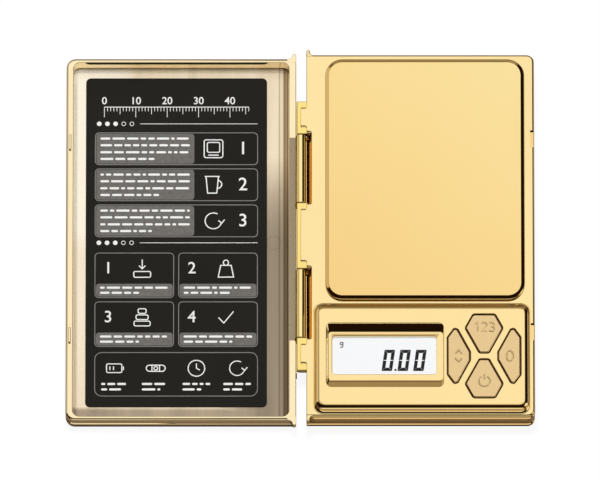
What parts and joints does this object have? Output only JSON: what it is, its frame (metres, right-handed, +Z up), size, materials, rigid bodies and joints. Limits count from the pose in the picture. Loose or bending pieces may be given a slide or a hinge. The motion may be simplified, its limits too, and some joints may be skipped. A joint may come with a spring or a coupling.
{
  "type": "digital pocket scale",
  "caption": "Book-style digital pocket scale: hinged lid leaf with a card, base leaf with a floating weighing platform, raised display panel and keys.",
  "frame": {"origin": "on the table under the middle of the open scale's bounding box; the hinge axis is 0.35 mm to its +X side and 10.6 mm above it", "axes": "+X from the lid leaf to the base leaf, +Y along the hinge away from the display, +Z up"},
  "size_m": [0.1486, 0.1232, 0.0155],
  "materials": {
    "gold_body": "mirror gold plating on moulded plastic",
    "gold_deck": "mirror gold plating on moulded plastic",
    "gold_satin": "smooth satin gold",
    "liner_champagne": "pale champagne, half mirror",
    "card_black": "black printed card with a plastic skin",
    "key_tan": "satin tan gold",
    "carrier_plastic": "moulded black",
    "beam_alloy": "milled",
    "screw_steel": "zinc plated",
    "pin_steel": "drawn",
    "gauge_foil": "film with foil grid",
    "lead_insulation": "smooth insulation",
    "board_green": "solder mask",
    "chip_black": "moulded resin",
    "capacitor_can": "drawn can",
    "switch_black": "moulded",
    "window_clear": "clear moulded window",
    "display_glass": "pale display",
    "backlight_white": "white light guide",
    "strip_rubber": "layered contact rubber",
    "cell_jacket": "printed jacket, bare",
    "contact_nickel": "nickel plated",
    "foot_rubber": "moulded rubber"
  },
  "bodies": {
    "base": {"base_tray": "gold_body", "deck_cover": "gold_deck", "display_panel": "gold_deck", "fixed_spacer": "beam_alloy", "load_cell": "beam_alloy", "fixed_screws": "screw_steel", "overload_screw": "screw_steel", "board_screws": "screw_steel", "case_screws": "screw_steel", "hinge_pin": "pin_steel", "strain_gauges": "gauge_foil", "load_cell_leads": "lead_insulation", "battery_leads": "lead_insulation", "main_board": "board_green", "controller_chip": "chip_black", "amplifier_chip": "chip_black", "board_capacitors": "capacitor_can", "switch_bodies": "switch_black", "lcd_window": "window_clear", "lcd_glass": "display_glass", "lcd_backlight": "backlight_white", "contact_strips": "strip_rubber", "battery_cells": "cell_jacket", "battery_contacts": "contact_nickel", "rubber_feet": "foot_rubber"},
    "lid": {"lid_shell": "gold_body", "lid_liner": "liner_champagne", "instruction_card": "card_black"},
    "platform": {"weighing_platform": "gold_satin", "platform_carrier": "carrier_plastic", "carrier_spacer": "beam_alloy", "carrier_screws": "screw_steel"},
    "count": {"count_key": "key_tan", "count_plunger": "switch_black"},
    "power": {"power_key": "key_tan", "power_plunger": "switch_black"},
    "mode": {"mode_key": "key_tan", "mode_plunger": "switch_black"},
    "tare": {"tare_key": "key_tan", "tare_plunger": "switch_black"},
    "door": {"battery_door": "gold_body"}
  },
  "joints": [
    {"name": "lid_hinge", "type": "hinge", "parent": "base", "child": "lid", "pos_m": [0.00035, 0, 0.0114], "axis": [0, 1, 0], "range_deg": [0, 180]},
    {"name": "platform_travel", "type": "slide", "parent": "base", "child": "platform", "axis": [0, 0, -1], "range_m": [0, 0.0003], "stiffness_N_per_m": 6500, "deforming": ["load_cell"]},
    {"name": "count_key_press", "type": "slide", "parent": "base", "child": "count", "axis": [0, 0, -1], "range_m": [0, 0.00035], "stiffness_N_per_m": 4000},
    {"name": "power_key_press", "type": "slide", "parent": "base", "child": "power", "axis": [0, 0, -1], "range_m": [0, 0.00035], "stiffness_N_per_m": 4000},
    {"name": "mode_key_press", "type": "slide", "parent": "base", "child": "mode", "axis": [0, 0, -1], "range_m": [0, 0.00035], "stiffness_N_per_m": 4000},
    {"name": "tare_key_press", "type": "slide", "parent": "base", "child": "tare", "axis": [0, 0, -1], "range_m": [0, 0.00035], "stiffness_N_per_m": 4000},
    {"name": "battery_door_slide", "type": "slide", "parent": "base", "child": "door", "axis": [1, 0, 0], "range_m": [0, 0.007]}
  ]
}
